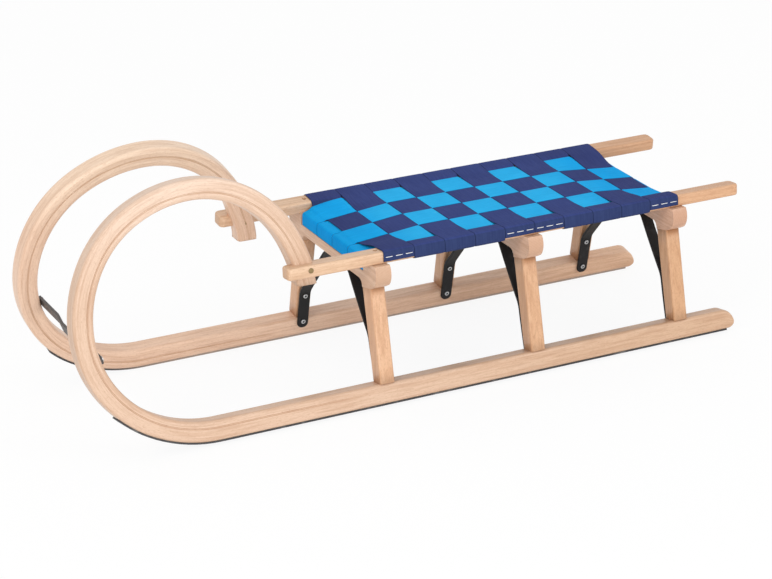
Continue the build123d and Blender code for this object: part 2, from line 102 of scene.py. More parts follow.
# Seat belts
BELT_T = 1.4 * MM
PITCH_X = 51.0 * MM
PITCH_Y = 51.8 * MM
CROSS_COUNT = 10
LONG_COUNT = 4
CROSS_W = 51.0 * MM
LONG_W = 51.6 * MM
CROSS_FIRST_X = 47.2 * MM
SEAT_Z = 232.05 * MM
OUTER_Z = 222.15 * MM  # middle of the weave at the outer edges of the first and last crosswise belt
LEVEL_FRONT = -29.3 * MM  # from here back to LEVEL_REAR the seat is level
LEVEL_REAR = -335.3 * MM
OUTER_FRONT = 71.0 * MM
OUTER_REAR = -435.6 * MM
LIFT_BELT = 0.85 * MM  # a belt runs this far over or under the middle of the weave
PILLOW = 0.35 * MM  # and bulges by this much more at a crossing's middle
TURN_OVER = 2.6 * MM  # half length of its slope between two crossings
KINK = 9.0 * MM  # half length of the soft bend between the level and the sloping seat
# The seat's droop, at these distances in mm beyond the level part, is taken back towards the rails by
# these shares, over these Y
DROOP_AT = (0.0, 54.0, 100.0, 114.0)
DROOP_BACK = (1.0, 1.0, 0.45, 0.0)
DROOP_Y = (50.0 * MM, 104.0 * MM)
SLOPE_Y = (80.0 * MM, 99.0 * MM)  # a crosswise belt turns from the seat's slope to level over these Y
# Towards a rail the weave of a free and of any other belt, and the seat's droop, die out over these
# distances from the weave's edge
FREE_END = (-30.0 * MM, -3.0 * MM)
HELD_END = (-6.0 * MM, 2.0 * MM)
DROOP_END = (-1.5 * MM, 2.0 * MM)
BAR_TOP_Z = 220.4 * MM
BAR_REBATE = 1.7 * MM  # the outer crossbars stand back this much behind the belts
BAR_EASE = 5.0 * MM  # rounding of their upper edge
DROP_Z = 200.8 * MM
STAPLED = (1, 5, 6, 10)
STAPLED_DROP = 15.0 * MM
TUCK = 20.0 * MM
BELT_SKIN = BELT_T / 2 + 0.3 * MM  # from the wood to the middle of a belt on it
BAR_REST = 5.0 * MM  # a lengthwise belt comes down onto the crossbar over this length
CLIMB = math.radians(50.0)  # slope at which a belt meets the rail's top, and that of a free one
FREE_CLIMB = math.radians(8.0)
BELT_POINTS = 15  # points on each side of a belt's section
SEAT_POINTS_X = 520  # points of the seat line, and rings of a lengthwise belt
LONG_RINGS = 420
CROSS_STEP = 1.5 * MM  # distance between the rings of a crosswise belt

# Legs and braces
LEG_IN = 1.2 * MM
LEG_W = 28.3 * MM
LEG_T = 24.0 * MM
LEG_EDGE = 3.2 * MM
LEG_GAP = 0.1 * MM  # hairline between leg and runner
LEG_RINGS = 7
# Where foot and head stand from their place in the construction, along X and outwards
LEG_FOOT_X = {"front": -1.5 * MM, "middle": -2.9 * MM, "rear": -3.2 * MM}
LEG_FOOT_OUT = 1.8 * MM
LEG_HEAD_X = 0.4 * MM
LEG_HEAD_OUT = -0.8 * MM
LEG_TAPER = 2.4 * MM  # the inner face's foot stands back this much
SEAM_Z = 174.2 * MM  # seam between leg and crossbar: height at SEAM_Y, and its rise outwards
SEAM_Y = 102.19 * MM
SEAM_RISE = math.tan(LEAN + math.radians(3.0))
BAR_LOW_Z = 185.8 * MM
BRACE_W = 18.0 * MM
BRACE_T = 3.8 * MM
BRACE_EDGE = 0.8 * MM
BRACE_GAP = 0.2 * MM  # hairline between brace and wood
BRACE_TURN = 9.0 * MM  # a bend begins and ends this far from its corner
BRACE_STEP = 2.0 * MM
BOX_LEAD = 0.3 * MM  # as EDGE_LEAD, on legs and braces
BRACE_LOW = 15.5 * MM
# The right braces bend lower and reach further in than the left ones
BRACE_BEND = {"left": 100.0 * MM, "right": 83.0 * MM}
BRACE_TOP_Y = {"left": 50.0 * MM, "right": 28.0 * MM}
BRACE_TAB_Y = {"left": 22.0 * MM, "right": 6.0 * MM}
# and stand a little further forward and up the leg
BRACE_SHIFT = {
    "left": dict.fromkeys(BARS, (0.0, 0.0)),
    "right": {"front": (0.0, 1.4 * MM), "middle": (0.4 * MM, -0.4 * MM), "rear": (1.3 * MM, -1.6 * MM)},
}
BRACE_END_R = 7.5 * MM
BRACE_AHEAD = 1.5 * MM
BRACE_SWAY = {"left": -7.5 * MM, "right": 0.0}  # the left braces' lower ends stand further to the rear

# Screws, bolts, staples
BRACE_FACE = 4.0 * MM  # face of a brace in front of the runner's inner face
BRACE_SCREWS = (26.5 * MM, 73.8 * MM)
BRACE_PATH = 185.0 * MM  # length of a brace up to its upper bend
SCREW_R = 3.7 * MM
SCREW_H = 1.8 * MM
SCREW_HOLE = 0.50 * SCREW_R
# Round the screw's head: radius, share of its height; and the finish of each band between two rows
SCREW_ROWS = (
    (SCREW_R, 0.0), (SCREW_R, 0.45), (SCREW_R * 0.94, 0.8), (SCREW_R * 0.82, 1.0),
    (SCREW_HOLE * 1.12, 1.0), (SCREW_HOLE, 0.9), (SCREW_HOLE, 0.35), (SCREW_HOLE * 0.2, 0.3),
)
# the bands inside the recess take the painted recess shade
SCREW_BANDS = [0, 0, 0, 0, 0, 1, 1]
BOLT_X = 188.7 * MM
BOLT_UP = 11.6 * MM
BOLT_R = 3.4 * MM
BOLT_SUNK = 1.6 * MM  # foot of its head inside the rail's face
# The same for the bolt's head: share of its radius, height in mm
BOLT_ROWS = ((1.0, 0.0), (1.0, 1.5), (0.86, 2.2), (0.5, 2.3), (0.42, 2.1), (0.38, 1.0), (0.08, 0.8))
# the bands inside the recess take the painted recess shade
BOLT_BANDS = [0, 0, 0, 0, 1, 1]
STAPLE_X = (-16.5 * MM, 0.0, 16.5 * MM)
STAPLE_LEN = 10.5 * MM
STAPLE_UP = 10.0 * MM
STAPLE_R = 0.55 * MM
STAPLE_PROUD = 0.8 * STAPLE_R  # middle of the wire over the webbing, and at its shoulders
STAPLE_SHOULDER = 0.2 * STAPLE_R
STAPLE_BEND = 0.06  # share of its length that each shoulder takes up
STAPLE_TIP = 1.2 * MM  # depth of its ends

# Camera: where the photograph was taken from
CAMERA_AT = (1.6520, 3.1916, 1.6314)
CAMERA_YAW = -2.04872
CAMERA_PITCH = 0.39951
CAMERA_ROLL = 0.00186
PHOTO_W = 772
FOCAL_PX = 2555.2
SENSOR = 36.0

# Stage and light
FLOOR_R = 12.0
FLOOR_Z = -0.2 * MM
FLOOR_WHITE = 0.90  # share of plain white in the floor as the camera sees it
WORLD_LIGHT = 0.80
# Place, what it points at, diameter and power of each lamp
LAMPS = {
    "key": ((3.9, 2.0, 3.0), (0.0, 0.0, 0.15), 2.2, 62.0),
    "fill": ((-2.6, 3.0, 2.6), (0.0, 0.0, 0.15), 2.4, 24.0),
    "low_fill": ((0.6, 3.6, 0.55), (0.0, 0.0, 0.10), 1.6, 44.0),
}


def put(thing):
    """Adds an object to the scene."""
    bpy.context.scene.collection.objects.link(thing)
    return thing


def make_camera():
    """Looks along yaw and pitch, then rolls about that line."""
    cy, sy = math.cos(CAMERA_YAW), math.sin(CAMERA_YAW)
    cp, sp = math.cos(CAMERA_PITCH), math.sin(CAMERA_PITCH)
    ahead = Vector((cy * cp, sy * cp, -sp))
    right = Vector((sy, -cy, 0.0))
    up = right.cross(ahead)
    cr, sr = math.cos(CAMERA_ROLL), math.sin(CAMERA_ROLL)
    right, up = cr * right + sr * up, cr * up - sr * right
    data = bpy.data.cameras.new("camera")
    data.sensor_width = SENSOR
    data.lens = SENSOR * FOCAL_PX / PHOTO_W
    data.clip_start, data.clip_end = 0.1, 50.0
    camera = bpy.data.objects.new("camera", data)
    turn = Matrix((right, up, -ahead)).transposed()
    camera.matrix_world = Matrix.Translation(CAMERA_AT) @ turn.to_4x4()
    bpy.context.scene.camera = put(camera)


make_camera()


def runner_section():
    """Rounded rectangle, counted from the gliding side outwards: across, up, joint depth and step share.

    Quarter circles at the corners, and a narrow V on each side face for the glue line, past which the
    face stands back by a step."""
    across, up, cut, back = [], [], [], []

    def add(a, v, depth=0.0, stand=0.0):
        across.append(a)
        up.append(v)
        cut.append(depth)
        back.append(stand)

    def corner(a, v, start):
        for t in np.linspace(0.0, 1.0, CORNER_POINTS):
            angle = start + t * QUARTER
            on_joint_side = 1.0 if v > RUN_H / 2 and abs(math.cos(angle)) > 0.3 else 0.0
            add(a + RUN_EDGE * math.cos(angle), v + RUN_EDGE * math.sin(angle), 0.0, on_joint_side)

    def side_face(share, upward):
        mid = share * RUN_H
        rows = [(RUN_EDGE + EDGE_LEAD, 0.0), (mid - JOINT_W, 0.0), (mid - JOINT_W / 2, 0.0), (mid, 1.0),
                (mid + JOINT_W / 2, 0.0), (mid + JOINT_W, 0.0), (RUN_H - RUN_EDGE - EDGE_LEAD, 0.0)]
        a = RUN_W if upward else 0.0
        for v, depth in rows if upward else rows[::-1]:
            add(a, v, depth, 1.0 if v > mid else 0.0)

    add(RUN_EDGE + EDGE_LEAD, 0.0)
    add(RUN_W / 2, 0.0)
    add(RUN_W - RUN_EDGE - EDGE_LEAD, 0.0)
    corner(RUN_W - RUN_EDGE, RUN_EDGE, -QUARTER)
    side_face(JOINT_OUT, True)
    corner(RUN_W - RUN_EDGE, RUN_H - RUN_EDGE, 0.0)
    add(RUN_W - RUN_EDGE - EDGE_LEAD, RUN_H)
    add(RUN_W / 2, RUN_H)
    add(RUN_EDGE + EDGE_LEAD, RUN_H)
    corner(RUN_EDGE, RUN_H - RUN_EDGE, QUARTER)
    side_face(JOINT_IN, False)
    corner(RUN_EDGE, RUN_EDGE, math.pi)
    return [np.array(x) for x in (across, up, cut, back)]


SECTION = runner_section()
SECTION_STEPS = np.hypot(*(np.diff(np.append(row, row[0])) for row in SECTION[:2]))
SECTION_AROUND = np.concatenate([[0.0], np.cumsum(SECTION_STEPS)])
GLUE_LINES = [(float(at), GLUE_HALF) for at in SECTION_AROUND[:-1][SECTION[2] > 0.5]]


# Materials

def feed(tree, slot, value):
    """Give a node's input a number, a colour, a vector or a link."""
    if isinstance(value, Wire):
        tree.links.new(value.socket, slot)
    elif isinstance(value, (tuple, list)) and slot.type == "RGBA" and len(value) == 3:
        slot.default_value = (*value, 1.0)
    else:
        slot.default_value = value


class Wire:
    """An output socket; arithmetic on it adds Math nodes."""

    def __init__(self, tree, socket):
        self.tree = tree
        self.socket = socket

    def math(self, operation, *values):
        node = self.tree.nodes.new("ShaderNodeMath")
        node.operation = operation
        for slot, value in zip(node.inputs, values):
            feed(self.tree, slot, value)
        return Wire(self.tree, node.outputs[0])

    def __add__(self, other):
        return self.math("ADD", self, other)

    def __sub__(self, other):
        return self.math("SUBTRACT", self, other)

    def __mul__(self, other):
        return self.math("MULTIPLY", self, other)

    def __rsub__(self, other):
        return self.math("SUBTRACT", other, self)

    def __abs__(self):
        return self.math("ABSOLUTE", self)

    __radd__ = __add__
    __rmul__ = __mul__

    def sin(self):
        return self.math("SINE", self)

    def over(self, low, high):
        """0 below low, 1 above high, smooth between."""
        node = self.tree.nodes.new("ShaderNodeMapRange")
        node.interpolation_type = "SMOOTHSTEP"
        for name, value in (("Value", self), ("From Min", low), ("From Max", high)):
            feed(self.tree, node.inputs[name], value)
        return Wire(self.tree, node.outputs[0])


class Finish:
    """A material and its nodes."""

    def __init__(self, name):
        self.material = bpy.data.materials.new(name)
        self.material.use_nodes = True
        self.tree = self.material.node_tree
        self.shader = self.tree.nodes["Principled BSDF"]

    def node(self, kind, settings=None, many=(), **values):
        """Any node: its settings, then its first inputs from many, then named ones, _ for a space."""
        node = self.tree.nodes.new("ShaderNode" + kind)
        for key, value in (settings or {}).items():
            setattr(node, key, value)
        for slot, value in zip(node.inputs, many):
            feed(self.tree, slot, value)
        for key, value in values.items():
            feed(self.tree, node.inputs[key.replace("_", " ")], value)
        return Wire(self.tree, node.outputs[0])

    def mix(self, share, first, second):
        """Colour between two colours."""
        node = self.tree.nodes.new("ShaderNodeMix")
        node.data_type = "RGBA"
        for slot, value in zip((node.inputs[0], node.inputs[6], node.inputs[7]), (share, first, second)):
            feed(self.tree, slot, value)
        return Wire(self.tree, node.outputs[2])

    def place(self, output, scale=(1.0, 1.0, 1.0), rotation=(0.0, 0.0, 0.0)):
        """Object, UV or Normal coordinates, stretched and turned."""
        node = self.tree.nodes.new("ShaderNodeTexCoord")
        source = Wire(self.tree, node.outputs[output])
        return self.node("Mapping", Vector=source, Scale=scale, Rotation=rotation)

    def parts(self, vector):
        """X, Y and Z of a vector."""
        node = self.tree.nodes.new("ShaderNodeSeparateXYZ")
        feed(self.tree, node.inputs[0], vector)
        return [Wire(self.tree, socket) for socket in node.outputs]

    def noise(self, vector, scale, detail=2.0, roughness=0.5, distortion=0.0):
        """Soft random pattern from 0 to 1."""
        return self.node(
            "TexNoise", Vector=vector, Scale=scale, Detail=detail, Roughness=roughness, Distortion=distortion
        )

    def done(self, color, roughness, height=None, depth=0.0002, strength=0.5, **constants):
        """Links colour, roughness and the bump's height, and sets the plain values."""
        feed(self.tree, self.shader.inputs["Base Color"], color)
        feed(self.tree, self.shader.inputs["Roughness"], roughness)
        if height is not None:
            bump = self.node("Bump", Height=height, Distance=depth, Strength=strength)
            feed(self.tree, self.shader.inputs["Normal"], bump)
        for name, value in constants.items():
            feed(self.tree, self.shader.inputs[name.replace("_", " ")], value)
        return self.material


WOOD_PALE = (0.745, 0.533, 0.386)
WOOD_MID = (0.660, 0.445, 0.306)
WOOD_DARK = (0.500, 0.300, 0.190)
WOOD_END = (0.590, 0.380, 0.255)
WOOD_PORE = (0.400, 0.225, 0.135)
GLUE = (0.400, 0.190, 0.080)
EVEN = (1.0, 1.0, 1.0)  # a tint that changes nothing
# X over which the wood's tint goes from its rear value to its front value: the wood's tone with painted light
# that weakens towards the rear
TINT_REAR = -0.55
TINT_FRONT = 0.25
# heights over which the painted highlight at the top of the horns grows
TOP_LIGHT_RISE = (0.24, 0.38)
# Painted shade of the belts on the rail wood they cover: its tint, and the height and X fade of its edges
PAINTED_BELT_SHADE = (0.10, 0.09, 0.14)
PAINTED_BELT_SHADE_Z = (0.2225, 0.2245)  # below this height the belts' lower edges leave the rails bare
PAINTED_BELT_SHADE_FADE = 2.0 * MM
BOLD = 1.5
GRAIN_DRAWN = 0.05  # the pattern is this much less dense along the grain, and the flecks
FLECKS_DRAWN = 0.22
# How dense each part of the pattern is
GRAIN = {"tone": 14.0, "years": 105.0, "lines": 330.0, "fibre": 1500.0, "flecks": 900.0, "rings": 95.0,
         "pores": 1300.0}


def wood(name, along, source="Object", turn=(0.0, 0.0, 0.0), end_grain=True, front_tone_and_light=EVEN, rear_tone_and_shade=EVEN,
         high=EVEN, coat=0.12, glue=(), belt_shade=False):
    """Clear-coated pale beech. along is the axis of the grain; the pattern is drawn out along it.

    Colour is a broad tone, plus year lines, plus fine fibres, plus short dark ray flecks, times a tint
    that changes evenly from its front value at the front to its rear value at the rear: the wood's tone
    together with painted light that weakens towards the rear. Towards the top of the horns it changes to
    high, a painted highlight where light falls from above. The tints are set by comparing colours with the
    photograph. With the belts' shade set, the wood under the belts is darkened: painted shade of the belts.
    Faces that look along the grain show rings and pores instead. Each glue line is a pair of fine lines:
    its place round the piece and half the distance between the two."""
    f = Finish(name)
    where = f.parts(f.place("Object"))

    def drawn(share):
        return f.place(source, tuple(share if k == along else 1.0 for k in range(3)), turn)

    across = drawn(GRAIN_DRAWN)
    tone = f.noise(across, GRAIN["tone"])
    years = f.noise(across, GRAIN["years"], distortion=0.6)
    lines = f.noise(across, GRAIN["lines"], 3.0, 0.6)
    fibre = f.noise(across, GRAIN["fibre"], 2.0, 0.6)
    fleck = f.noise(drawn(FLECKS_DRAWN), GRAIN["flecks"], 1.0).over(0.58, 0.70)
    share = (tone - 0.5) * (1.3 * BOLD) + (years.over(0.35, 0.65) - 0.5) * (0.7 * BOLD)
    share = share + (lines - 0.5) * (1.8 * BOLD) + 0.40
    color = f.mix(share, WOOD_PALE, WOOD_MID)
    color = f.mix((fibre - 0.5) * (0.8 * BOLD) + 0.10, color, WOOD_DARK)
    color = f.mix(lines.over(0.46, 0.66) * (0.20 * BOLD), color, WOOD_DARK)
    color = f.mix(fleck * 0.48, color, WOOD_DARK)
    for at, half in glue:
        near = abs(f.parts(f.place(source))[1] - at)
        near = 1.0 - abs(near - half).over(*GLUE_SOFT)
        color = f.mix(near * where[0].over(*JOINT_FADE) * 0.75, color, GLUE)
    height = lines * 0.5 + fibre * 0.5 - fleck * 0.4
    if end_grain:
        normal = f.place("Normal", rotation=turn)
        facing = abs(f.parts(normal)[along]).over(0.70, 0.93)
        section = drawn(0.0)
        rings = f.node(
            "TexWave", {"wave_type": "RINGS", "rings_direction": "SPHERICAL"},
            Vector=section, Scale=GRAIN["rings"], Distortion=1.2, Detail=2.0, Detail_Scale=0.8,
        )
        pores = f.node("TexVoronoi", Vector=section, Scale=GRAIN["pores"]).over(0.10, 0.32)
        cut = f.mix((1.0 - pores) * 0.5 + rings * 0.18, WOOD_END, WOOD_PORE)
        color = f.mix(facing * 0.8, color, cut)
        height = height + facing * pores * 0.4
    # the wood's tone with painted light from front to rear, then a painted highlight towards the top of the
    # horns
    tint = f.mix(1.0 - where[0].over(TINT_REAR, TINT_FRONT), front_tone_and_light, rear_tone_and_shade)
    tint = f.mix(where[2].over(*TOP_LIGHT_RISE), tint, high)
    # painted shade: the wood under the belts is darkened as if in their shadow
    if belt_shade:
        past_rear = where[0].over(OUTER_REAR, OUTER_REAR + PAINTED_BELT_SHADE_FADE)
        past_front = where[0].over(OUTER_FRONT - PAINTED_BELT_SHADE_FADE, OUTER_FRONT)
        tint = f.mix((past_rear - past_front) * where[2].over(*PAINTED_BELT_SHADE_Z), tint, PAINTED_BELT_SHADE)
    color = f.node("VectorMath", {"operation": "MULTIPLY"}, many=(color, tint))
    return f.done(color, lines * 0.16 + 0.38, height, 0.00014, 0.4, Coat_Weight=coat, Coat_Roughness=0.25)


NAVY = (0.038, 0.054, 0.178)
NAVY_DARK = (0.024, 0.034, 0.128)
BLUE = (0.006, 0.385, 0.820)
BLUE_DARK = (0.003, 0.300, 0.690)
# Painted shade lines along the belts' long edges, where neighbouring belts shade them
NAVY_EDGE_SHADE = (0.010, 0.016, 0.060)
BLUE_EDGE_SHADE = (0.003, 0.240, 0.560)
RIB = 1.15 * MM  # distance between two ribs across a belt, and between two wefts along it
WEFT = 0.95 * MM
# band across the belt, from its middle, where the painted edge shade grows
EDGE_SHADE_BAND = (24.4 * MM, 25.5 * MM)
# X over which the painted sheen on the belts' upward faces comes and goes
SHEEN_REAR = (-0.40, -0.28)  # the level tint comes and goes between these X
SHEEN_FRONT = (-0.01, 0.04)


def webbing(name, base, shade, edge, low, top_sheen):
    """Flat woven webbing: warp ribs across the belt's width, weft steps along its length.

    Height is the product of two sines of the belt's own length and width. Where the belt looks up on
    the level part of the seat its colour is multiplied by a painted sheen, and elsewhere it stays as it
    is; sideways and below it is multiplied by low, a painted shade. Both are set by comparing colours
    with the photograph."""
    f = Finish(name)
    along, across, _ = f.parts(f.place("UV"))
    warp = (across * (math.tau / RIB)).sin()
    weft = (along * (math.tau / WEFT)).sin()
    threads = warp * weft * 0.5 + warp * 0.35 + 0.5
    streak = f.noise(f.place("UV", (0.08, 1.0, 1.0)), 420.0, 3.0, 0.6)
    cloud = f.noise(f.place("UV"), 26.0, 2.0)
    share = (streak - 0.5) * 1.6 + (cloud - 0.5) * 0.9 + (1.0 - threads) * 0.30 + 0.18
    color = f.mix(share, base, shade)
    # painted shade: a dark line along the belt's long edges
    edge_shade = abs(across).over(*EDGE_SHADE_BAND)
    color = f.mix(edge_shade * 0.75, color, edge)
    # painted light: a painted sheen on upward faces of the level seat, painted shade on sideways and downward
    # faces
    upward = f.parts(f.place("Normal"))[2].over(0.6, 0.95)
    where = f.parts(f.place("Object"))[0]
    middle = where.over(*SHEEN_REAR) - where.over(*SHEEN_FRONT)
    tint = f.mix(upward * middle, f.mix(upward, low, EVEN), top_sheen)
    color = f.node("VectorMath", {"operation": "MULTIPLY"}, many=(color, tint))
    return f.done(color, 0.86, threads + streak * 0.4, 0.00016, 0.45, Specular_IOR_Level=0.10)


PALE_INSIDE = (0.42, 0.33, 0.27)
PALE_END = (0.30, 0.42)  # the pale inner face dies out between these X


def steel(name, base, bright, rough, metal, wear, shine=0.5, inner=0.0):
    """Coated or bare steel with a fine orange-peel surface and rubbed, brighter patches.

    With inner 1 or -1 the faces that look to the sled's middle are pale along the straight part, because
    the photograph shows almost no dark line there."""
    f = Finish(name)
    at = f.place("Object")
    peel = f.noise(at, 900.0, 2.0)
    rubbed = f.noise(at, 60.0, 4.0, 0.65).over(0.52, 0.75)
    scratch = f.noise(f.place("Object", (0.04, 1.0, 1.0)), 1400.0, 2.0).over(0.55, 0.75)
    color = f.mix((rubbed * 0.6 + scratch * 0.4) * wear, base, bright)
    if inner:
        edge = (f.parts(f.place("Normal"))[1] * -inner).over(0.5, 0.8)
        color = f.mix(edge * (0.9 - f.parts(at)[0].over(*PALE_END) * 0.9), color, PALE_INSIDE)
    roughness = peel * 0.12 + rough - rubbed * 0.08
    return f.done(color, roughness, peel, 0.00008, 0.3, Metallic=metal, Specular_IOR_Level=shine)


def bright_wire(name, base):
    """Pale wire with fine lengthwise marks."""
    f = Finish(name)
    marks = f.noise(f.place("Object", (0.2, 1.0, 1.0)), 2500.0, 2.0)
    color = f.mix(marks * 0.4, base, (0.45, 0.45, 0.45))
    return f.done(color, marks * 0.2 + 0.35, marks, 0.00005, 0.3, Metallic=0.2)


# Front and rear tints of the pieces: the wood's tone with painted light that weakens towards the rear; the
# rails also darken under the belts with painted shade
RAIL_WOOD = wood("wood_rails", 0, front_tone_and_light=(0.96, 0.93, 0.86), rear_tone_and_shade=(0.86, 0.70, 0.55), belt_shade=True)
BAR_WOOD = wood("wood_crossbars", 1, front_tone_and_light=(0.93, 0.90, 0.87), rear_tone_and_shade=(0.89, 0.77, 0.73))
LEG_TONE_AND_LIGHT = {"front_tone_and_light": (0.96, 0.83, 0.71), "rear_tone_and_shade": (0.81, 0.65, 0.49)}
LEG_WOOD = {
    side: wood("wood_legs_" + side, 2, turn=(sign * LEAN, 0.0, 0.0), **LEG_TONE_AND_LIGHT)
    for side, sign in SIDES.items()
}
# Bent wood tints, the wood's tone with painted light: the right runner's are lighter, painting light onto its
# inner face in the seat's shade, and high is a painted highlight at the top of each horn
BENT_TONE_AND_LIGHT = {
    "left": {"front_tone_and_light": (0.90, 0.88, 0.87), "rear_tone_and_shade": (0.80, 0.73, 0.65), "high": (1.02, 1.08, 1.16)},
    "right": {"front_tone_and_light": (1.06, 1.04, 1.05), "rear_tone_and_shade": (1.04, 0.94, 0.85), "high": (1.14, 1.22, 1.27)},
}
BENT_WOOD = {
    side: wood("wood_runner_" + side, 0, source="UV", end_grain=False, coat=0.2, glue=GLUE_LINES, **tint)
    for side, tint in BENT_TONE_AND_LIGHT.items()
}
END_WOOD = wood("wood_horn_end", 2)
BLACK_STEEL = steel("black_steel", (0.009, 0.008, 0.008), (0.05, 0.047, 0.047), 0.5, 0.0, 0.5, shine=0.22)
BOW_STEEL = steel("bow_steel", (0.075, 0.068, 0.066), (0.15, 0.14, 0.135), 0.45, 0.0, 0.6, shine=0.4)
SHOE_STEEL = {
    side: steel("shoe_steel_" + side, (0.055, 0.052, 0.055), (0.30, 0.29, 0.28), 0.38, 0.7, 0.8, inner=sign)
    for side, sign in SIDES.items()
}
SCREW_STEEL = steel("screw_steel", (0.50, 0.50, 0.50), (0.80, 0.80, 0.80), 0.30, 0.8, 0.5)
# painted shade for the recesses in the screw and bolt heads
RECESS_SHADE = steel("screw_recess_shade", (0.03, 0.03, 0.03), (0.08, 0.08, 0.08), 0.5, 0.3, 0.2)
BOLT_BRASS = steel("bolt_brass", (0.27, 0.19, 0.09), (0.60, 0.48, 0.28), 0.34, 0.8, 0.4)
STAPLE_WIRE = bright_wire("staple_wire", (0.86, 0.86, 0.86))
# The webbing's tints paint shade on sideways and downward faces and a sheen on upward faces of the level seat
NAVY_WEB = webbing(
    "navy_webbing", NAVY, NAVY_DARK, NAVY_EDGE_SHADE, low=(0.83, 0.90, 0.77), top_sheen=(1.10, 1.16, 1.17)
)
BLUE_WEB = webbing(
    "blue_webbing", BLUE, BLUE_DARK, BLUE_EDGE_SHADE, low=(0.50, 0.85, 0.95), top_sheen=(4.2, 1.17, 1.03)
)


def dress(node, material):
    """Give a CAD node its finish."""
    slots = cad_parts[node].data.materials
    slots.clear()
    slots.append(material)


for side in SIDES:
    dress("side_rail_" + side, RAIL_WOOD)
    dress("shoe_" + side, SHOE_STEEL[side])
for bar in BARS:
    dress("crossbar_" + bar, BAR_WOOD)
dress("tow_bow", BOW_STEEL)


# Mesh helpers

def build(name, points, faces, materials, index, smooth, loops=None):
    """An object with this mesh and these material numbers, with all its faces turned outwards."""
    mesh = bpy.data.meshes.new(name)
    mesh.from_pydata(points.reshape(-1, 3).tolist(), [], faces)
    if loops is not None:
        mesh.uv_layers.new(name="UVMap").data.foreach_set("uv", loops.astype(np.float32).ravel())
    for material in materials:
        mesh.materials.append(material)
    mesh.polygons.foreach_set("material_index", index)
    mesh.polygons.foreach_set("use_smooth", smooth)
    mesh.update()
    b = bmesh.new()
    b.from_mesh(mesh)
    bmesh.ops.recalc_face_normals(b, faces=b.faces)
    b.to_mesh(mesh)
    b.free()
    return put(bpy.data.objects.new(name, mesh))


def ring_quads(n, m, row):
    """Corner numbers of the quads between n rings of m points that are numbered in rows.

    A row of m numbers closes the ring, a row of m + 1 gives its seam a number of its own."""
    i = np.arange(n - 1)[:, None] * row
    j = np.arange(m)[None, :]
    k = (j + 1) % row
    return np.stack([i + j, i + k, i + row + k, i + row + j], -1).reshape(-1, 4)


def surface(name, grid, uv, materials, cap_material=0):
    """Mesh over a grid of points (along, around, 3) that closes round and has flat ends.

    uv holds (along, around + 1, 2), so that the seam has its own values."""
    n, m, _ = grid.shape
    faces = ring_quads(n, m, m).tolist()
    faces.append(list(range(m))[::-1])
    faces.append(list(range((n - 1) * m, n * m)))
    loops = np.concatenate([uv.reshape(-1, 2)[ring_quads(n, m, m + 1).ravel()], np.zeros((2 * m, 2))])
    smooth = np.ones(len(faces), bool)
    smooth[-2:] = False
    index = np.zeros(len(faces), np.int32)
    index[-2:] = cap_material
    return build(name, grid, faces, materials, index, smooth, loops)


def finish_piece(thing, slot, *nodes):
    """The CAD nodes that a piece replaces, its slot (not used) and its body."""
    if nodes:
        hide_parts(*nodes)
    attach(thing, "root")
    return thing


def step(x, low, high):
    """0 below low, 1 above high, 3t^2 - 2t^3 between."""
    t = np.clip((x - low) / (high - low), 0.0, 1.0)
    return t * t * (3.0 - 2.0 * t)


def unit_normals(y, z):
    """Y and Z of the normals of a line, from the differences of its points."""
    dy, dz = np.gradient(y), np.gradient(z)
    size = np.hypot(dy, dz)
    return -dz / size, dy / size


def lengths(points):
    """Running length along a row of points."""
    return np.concatenate([[0.0], np.cumsum(np.linalg.norm(np.diff(points, axis=0), axis=1))])


def resample(points, spacing):
    """Evenly spaced points on a row of points, with their running lengths."""
    run = lengths(points)
    even = np.linspace(0.0, run[-1], int(run[-1] / spacing) + 1)
    return np.stack([np.interp(even, run, points[:, k]) for k in range(points.shape[1])], -1), even


# Runners with their horns

def horn_line(s):
    """X, height in the leaning plane and heading of the outer outline at lengths s from the tail.

    Straight first; on an arc of radius r the heading grows by the length over r."""
    starts = STRAIGHT + np.concatenate([[0.0], np.cumsum(HORN_ARCS)[:-1]])
    h0 = np.concatenate([[0.0], np.cumsum(HORN_TURNS)[:-1]])
    h1 = h0 + HORN_TURNS
    dx = HORN_RADII * (np.sin(h1) - np.sin(h0))
    dv = HORN_RADII * (np.cos(h0) - np.cos(h1))
    x0 = BEND_X + np.concatenate([[0.0], np.cumsum(dx)[:-1]])
    v0 = np.concatenate([[0.0], np.cumsum(dv)[:-1]])
    k = np.clip(np.searchsorted(starts, s, side="right") - 1, 0, len(starts) - 1)
    heading = np.where(s < STRAIGHT, 0.0, h0[k] + (s - starts[k]) / HORN_RADII[k])
    x = np.where(s < STRAIGHT, TAIL_X + s, x0[k] + HORN_RADII[k] * (np.sin(heading) - np.sin(h0[k])))
    v = np.where(s < STRAIGHT, 0.0, v0[k] + HORN_RADII[k] * (np.cos(h0[k]) - np.cos(heading)))
    return x, v, heading


